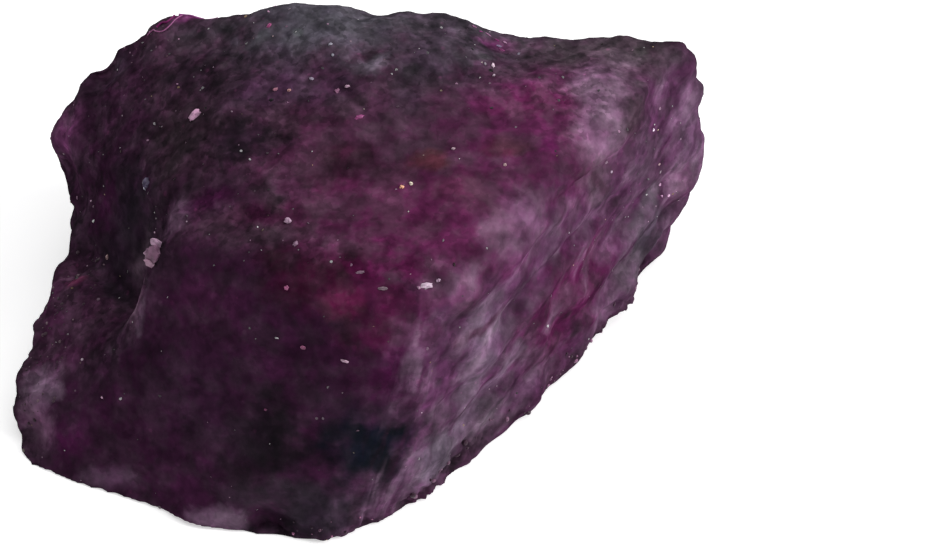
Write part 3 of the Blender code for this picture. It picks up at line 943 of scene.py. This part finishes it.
flecks = scatterOn(lump, "micaFlecksWithPaintedGlints", fleckSet, buildFlecks, tonedFinish("paintedGlintMica", 0.2, 0.5))
settle(flecks)

# grains that stand out of the surface, thickest along a line
grainSets = {
    "garnetCrust": {"Start": (1.7, -7.8, 0.3), "End": (10.4, 2.6, 1.0), "Reach": 0.9, "Density": 5.0,
                    "Small": 0.08, "Large": 0.24, "Dark": (50, 26, 42), "Light": (150, 104, 136), "Seed": 21},
    "footGrains": {"Start": (-3.2, -9.0, 0.4), "End": (0.4, -9.0, 0.5), "Reach": 0.9, "Density": 9.0,
                   "Small": 0.05, "Large": 0.15, "Dark": (42, 22, 38), "Light": (186, 120, 160), "Seed": 22},
    "leftGrains": {"Start": (-11.4, -3.6, 1.4), "End": (-10.2, 0.6, 3.4), "Reach": 1.5, "Density": 6.0,
                   "Small": 0.05, "Large": 0.17, "Dark": (52, 32, 46), "Light": (130, 104, 116), "Seed": 23},
}


def buildGrains(tree, given):
    place = pointPlace(tree)
    along = vectorCalc(tree, "SUBTRACT", given["End"], given["Start"])
    far = offLine(tree, place, given["Start"], along, vectorCalc(tree, "DOT_PRODUCT", along, along))
    near = ease(tree, far, given["Reach"], times(tree, given["Reach"], 0.4))
    clump = ease(tree, noise(tree, place, 0.9, 2.0), 0.3, 0.5)
    spots = spread(tree, given, times(tree, near, clump, ease(tree, levelOf(tree, place), 0.1, 0.25)))
    ball = addNode(tree, "GeometryNodeMeshUVSphere", {
        "Segments": 9, "Rings": 6, "Radius": 0.5}).outputs["Mesh"]
    big = calc(tree, "POWER", randomOf(tree, 0.0, 1.0, seedOf(tree, given, 1)), 2.5)
    growth = calc(tree, "SUBTRACT", given["Large"], given["Small"])
    size = times(tree, plus(tree, given["Small"], times(tree, big, growth)), mm)
    stretch = randomOf(tree, (0.75, 0.75, 0.6), (1.25, 1.25, 0.9), seedOf(tree, given, 2), "FLOAT_VECTOR")
    spin = randomOf(tree, (-0.4, -0.4, -3.1), (0.4, 0.4, 3.1), seedOf(tree, given, 3), "FLOAT_VECTOR")
    turned = turnedBy(tree, spots.outputs["Rotation"], spin)
    placed = standOn(tree, spots.outputs["Points"], ball, turned, scaled(tree, stretch, size))
    pick = calc(tree, "POWER", randomOf(tree, 0.0, 1.0, seedOf(tree, given, 4)), 3.0)
    tone = mixColour(tree, pick, given["Dark"], given["Light"])
    return store(tree, placed, "tone", tone, "FLOAT_COLOR", "INSTANCE")


for name, values in grainSets.items():
    inputs = {**values, "Dark": paint(*values["Dark"])[:3], "Light": paint(*values["Light"])[:3]}
    settle(scatterOn(lump, name, inputs, buildGrains, tonedFinish(name + "Stone", 0.3, 0.25)))

# single crystal grains and chips, among them painted glints and a painted pit shade: place in mm, size
# across, thick and along in mm, slope of the long side as seen from the front in degrees, tone 0-255
crystalsAndGlints = {
    "pale grain": ((-5.8, 2.6, 9.0), (0.34, 0.24, 0.56), 24, (206, 158, 190)),
    "long pale grain": ((-7.2, -2.2, 7.2), (0.6, 0.6, 0.74), 52, (124, 88, 112)),
    "long grain tip": ((-7.05, -1.9, 7.4), (0.3, 0.62, 0.3), 60, (186, 150, 176)),
    "long grain foot": ((-7.35, -2.45, 7.1), (0.26, 0.56, 0.28), 40, (170, 134, 156)),
    "long grain side": ((-7.3, -2.1, 7.2), (0.2, 0.66, 0.36), 52, (150, 116, 140)),
    "ice crystal": ((-7.5, 1.0, 7.3), (0.3, 0.26, 0.4), 100, (88, 78, 104)),
    "ice edge": ((-7.65, 0.95, 7.2), (0.1, 0.12, 0.3), 110, (205, 200, 220)),
    # painted glints: pale chips standing for light caught at the corner of the ridge
    "painted glint chip": ((2.45, -5.25, 9.1), (0.2, 0.1, 0.42), 5, (205, 180, 200)),
    "painted glint chip right": ((2.8, -5.05, 9.0), (0.1, 0.08, 0.16), 20, (172, 140, 165)),
    "painted glint chip left": ((2.2, -5.35, 9.1), (0.1, 0.08, 0.14), 0, (160, 122, 148)),
    # painted glints: pale chips standing for sparkles of light
    "orange painted glint": ((1.5, -1.4, 9.6), (0.14, 0.1, 0.16), 0, (246, 184, 148)),
    "white painted glint": ((1.8, -1.25, 9.6), (0.13, 0.1, 0.14), 0, (248, 236, 214)),
    "brow smear": ((0.15, -4.75, 9.1), (0.1, 0.06, 0.3), 5, (140, 110, 130)),
    "plate fleck": ((-2.3, -4.9, 8.4), (0.16, 0.1, 0.19), 0, (165, 92, 132)),
    "plate chip": ((-1.75, -6.0, 6.7), (0.12, 0.1, 0.2), -10, (140, 78, 112)),
    "plate dash": ((-0.35, -6.5, 6.6), (0.1, 0.08, 0.26), -15, (185, 150, 172)),
    "low plate fleck": ((-3.1, -6.8, 4.4), (0.1, 0.08, 0.12), 0, (105, 55, 85)),
    "rim fleck one": ((-1.1, 4.55, 10.5), (0.1, 0.08, 0.16), 40, (150, 146, 160)),
    "rim fleck two": ((-1.0, 4.1, 10.5), (0.1, 0.08, 0.14), 80, (140, 136, 150)),
    "rim fleck three": ((-1.7, 3.15, 10.3), (0.12, 0.08, 0.16), 10, (150, 138, 156)),
    "top grain one": ((-0.8, 2.55, 10.3), (0.14, 0.1, 0.2), 60, (152, 104, 134)),
    "top grain two": ((-0.45, 2.7, 10.3), (0.12, 0.1, 0.18), 20, (185, 150, 172)),
    "pink grain one": ((-2.95, 2.8, 10.1), (0.12, 0.1, 0.2), 30, (166, 110, 130)),
    "pink grain two": ((-2.45, 2.7, 10.1), (0.1, 0.1, 0.14), 30, (190, 140, 140)),
    "grey grain": ((3.2, 0.15, 9.9), (0.1, 0.08, 0.14), 30, (196, 168, 180)),
    "tan grain": ((4.95, -0.55, 9.8), (0.11, 0.08, 0.14), 50, (176, 146, 150)),
    "purple speckle": ((0.0, 1.4, 10.1), (0.16, 0.1, 0.34), 30, (150, 72, 124)),
    "pink spot": ((-3.3, 5.8, 10.3), (0.14, 0.1, 0.2), 60, (158, 66, 120)),
    "lilac chip one": ((-2.3, -2.55, 9.2), (0.2, 0.14, 0.24), 20, (172, 140, 164)),
    "lilac chip two": ((-2.0, -3.5, 9.1), (0.16, 0.1, 0.22), 60, (140, 108, 132)),
    "grey speckle": ((0.9, -5.4, 9.0), (0.12, 0.06, 0.3), 0, (122, 100, 112)),
    # painted glints: pale chips standing for a sparkle of light on the rim
    "painted glint on the rim": ((4.6, 4.05, 10.1), (0.12, 0.1, 0.24), 80, (232, 205, 222)),
    "second painted glint on the rim": ((4.3, 4.05, 10.1), (0.1, 0.08, 0.16), 80, (150, 140, 150)),
    "low painted glint on the rim": ((4.6, 3.55, 10.0), (0.1, 0.08, 0.14), 60, (170, 150, 165)),
    # painted shade: a dark chip standing for the shade in a small pit
    "painted shade of a pit": ((4.5, 3.8, 10.0), (0.14, 0.05, 0.16), 0, (10, 6, 10)),
    "dark grain": ((-3.05, 2.4, 9.9), (0.12, 0.06, 0.16), 0, (16, 10, 16)),
    # painted glints: pale chips standing for sparkles of light
    "right painted glint one": ((10.35, 3.3, 7.6), (0.11, 0.07, 0.15), 0, (240, 216, 240)),
    "right painted glint two": ((10.7, 3.65, 4.5), (0.1, 0.07, 0.12), 40, (216, 170, 205)),
    "right painted glint three": ((11.1, 3.55, 4.0), (0.1, 0.07, 0.12), 0, (226, 180, 214)),
    "right painted glint four": ((8.75, 1.35, 7.5), (0.1, 0.06, 0.1), 0, (205, 180, 205)),
    "right painted glint five": ((10.9, 3.3, 4.3), (0.09, 0.07, 0.1), 0, (200, 150, 190)),
    "left painted glint one": ((-9.85, 2.1, 4.2), (0.12, 0.07, 0.13), 0, (205, 205, 205)),
    "left painted glint two": ((-9.25, 0.7, 3.8), (0.13, 0.08, 0.17), 60, (165, 132, 134)),
    "left painted glint three": ((-9.8, -3.35, 2.9), (0.1, 0.07, 0.11), 0, (185, 165, 180)),
    "shard one": ((3.9, 6.2, 9.8), (0.06, 0.05, 0.2), -30, (150, 90, 134)),
    "shard two": ((4.15, 6.05, 9.8), (0.06, 0.05, 0.16), 10, (140, 56, 120)),
    "shard three": ((4.45, 6.0, 9.8), (0.06, 0.05, 0.24), -35, (160, 112, 148)),
    "shard four": ((4.8, 5.8, 9.8), (0.08, 0.05, 0.2), -25, (132, 44, 108)),
    "shard five": ((5.05, 5.75, 9.8), (0.09, 0.06, 0.15), -40, (176, 130, 164)),
    "shard six": ((4.85, 5.5, 9.8), (0.1, 0.05, 0.2), -20, (130, 112, 142)),
    "shard seven": ((4.95, 5.3, 9.8), (0.1, 0.05, 0.24), -20, (122, 46, 100)),
    "shard eight": ((5.5, 5.25, 9.8), (0.1, 0.05, 0.16), 70, (120, 112, 128)),
}
chipSet = {"jitter": 0.26, "mottle": 0.4, "sunk": 0.4, "seed": 5}


def makeChips(name, chips, values, material):
    # small many-sided grains, each pressed into the surface below it
    draw = random.Random(values["seed"])
    shape = bmesh.new()
    layer = shape.verts.layers.float_color.new("tone")
    for place, size, slope, tone in chips.values():
        spot, normal = onStone(place)
        made = bmesh.ops.create_icosphere(shape, subdivisions=2, radius=0.5)["verts"]
        angle = math.radians(slope)
        level = Vector((math.cos(angle), math.sin(angle) * 0.74, math.sin(angle) * 0.67))
        along = (level - normal * level.dot(normal)).normalized()
        lie = Matrix((normal.cross(along), along, normal)).transposed().to_4x4()
        wide, thick, length = size
        for vert in made:
            rough = 1 + values["jitter"] * draw.uniform(-1, 1)
            vert.co = Vector((vert.co.x * wide, vert.co.y * length, vert.co.z * thick)) * rough * mm
            lighter = 1 + values["mottle"] * draw.uniform(-1, 1)
            vert[layer] = [channel * lighter for channel in paint(*tone)[:3]] + [1.0]
        middle = Matrix.Translation(spot + normal * thick * (0.5 - values["sunk"]) * mm)
        bmesh.ops.transform(shape, matrix=middle @ lie, verts=made)
    mesh = bpy.data.meshes.new(name)
    shape.to_mesh(mesh)
    shape.free()
    mesh.materials.append(material)
    piece = bpy.data.objects.new(name, mesh)
    bpy.context.scene.collection.objects.link(piece)
    print("%s: %d triangles" % (name, len(mesh.polygons)))
    return piece


settle(makeChips("paleCrystalsAndPaintedGlints", crystalsAndGlints, chipSet, tonedFinish("paleCrystalAndPaintedGlint", 0.3, 0.3)))

# fine pink fibres caught on the rim: the line in mm, radius in mm, tone 0-255
fibres = {
    "pale hair": (((-7.9, 7.2, 8.6), (-7.6, 7.3, 8.7), (-7.45, 7.1, 8.7), (-7.2, 7.0, 8.85),
                   (-6.95, 7.15, 8.9), (-6.8, 7.4, 9.0), (-6.65, 7.6, 9.05)), 0.024, (168, 100, 148)),
    "magenta fibre": (((-7.4, 7.25, 8.75), (-7.2, 7.4, 8.8), (-7.0, 7.2, 8.85), (-6.85, 7.45, 8.9)),
                      0.04, (118, 30, 94)),
    "orchid fibre": (((-6.8, 7.7, 8.95), (-6.55, 7.8, 9.0), (-6.3, 7.7, 9.1), (-6.0, 7.8, 9.15),
                      (-5.8, 7.7, 9.2)), 0.045, (150, 80, 140)),
    "pale tail": (((-5.9, 7.9, 9.2), (-5.7, 7.7, 9.3), (-5.5, 7.6, 9.4), (-5.3, 7.45, 9.5)),
                  0.026, (186, 120, 170)),
}


def makeFibres(name, lines, lift, material):
    shapes = []
    for label, (points, radius, tone) in lines.items():
        data = bpy.data.curves.new(label, "CURVE")
        data.dimensions = "3D"
        data.bevel_depth = radius * mm
        data.bevel_resolution = 1
        data.use_fill_caps = True
        data.resolution_u = 6
        line = data.splines.new("NURBS")
        line.points.add(len(points) - 1)
        for spot, place in zip(line.points, points):
            ground, normal = onStone(place)
            spot.co = (*(ground + normal * (radius + lift) * mm), 1.0)
        line.use_endpoint_u = True
        line.order_u = 3
        item = bpy.data.objects.new(label, data)
        bpy.context.scene.collection.objects.link(item)
        shapes.append((item, tone))
    whole = bmesh.new()
    layer = whole.verts.layers.float_color.new("tone")
    graph = bpy.context.evaluated_depsgraph_get()
    for item, tone in shapes:
        mesh = bpy.data.meshes.new_from_object(item.evaluated_get(graph))
        before = len(whole.verts)
        whole.from_mesh(mesh)
        whole.verts.ensure_lookup_table()
        for vert in whole.verts[before:]:
            vert[layer] = paint(*tone)
        bpy.data.meshes.remove(mesh)
        bpy.data.objects.remove(item)
    mesh = bpy.data.meshes.new(name)
    whole.to_mesh(mesh)
    whole.free()
    mesh.materials.append(material)
    mesh.polygons.foreach_set("use_smooth", [True] * len(mesh.polygons))
    piece = bpy.data.objects.new(name, mesh)
    bpy.context.scene.collection.objects.link(piece)
    print("%s: %d faces" % (name, len(mesh.polygons)))
    return piece


settle(makeFibres("pinkFibres", fibres, 0.01, tonedFinish("pinkFibre", 0.5, 0.2)))
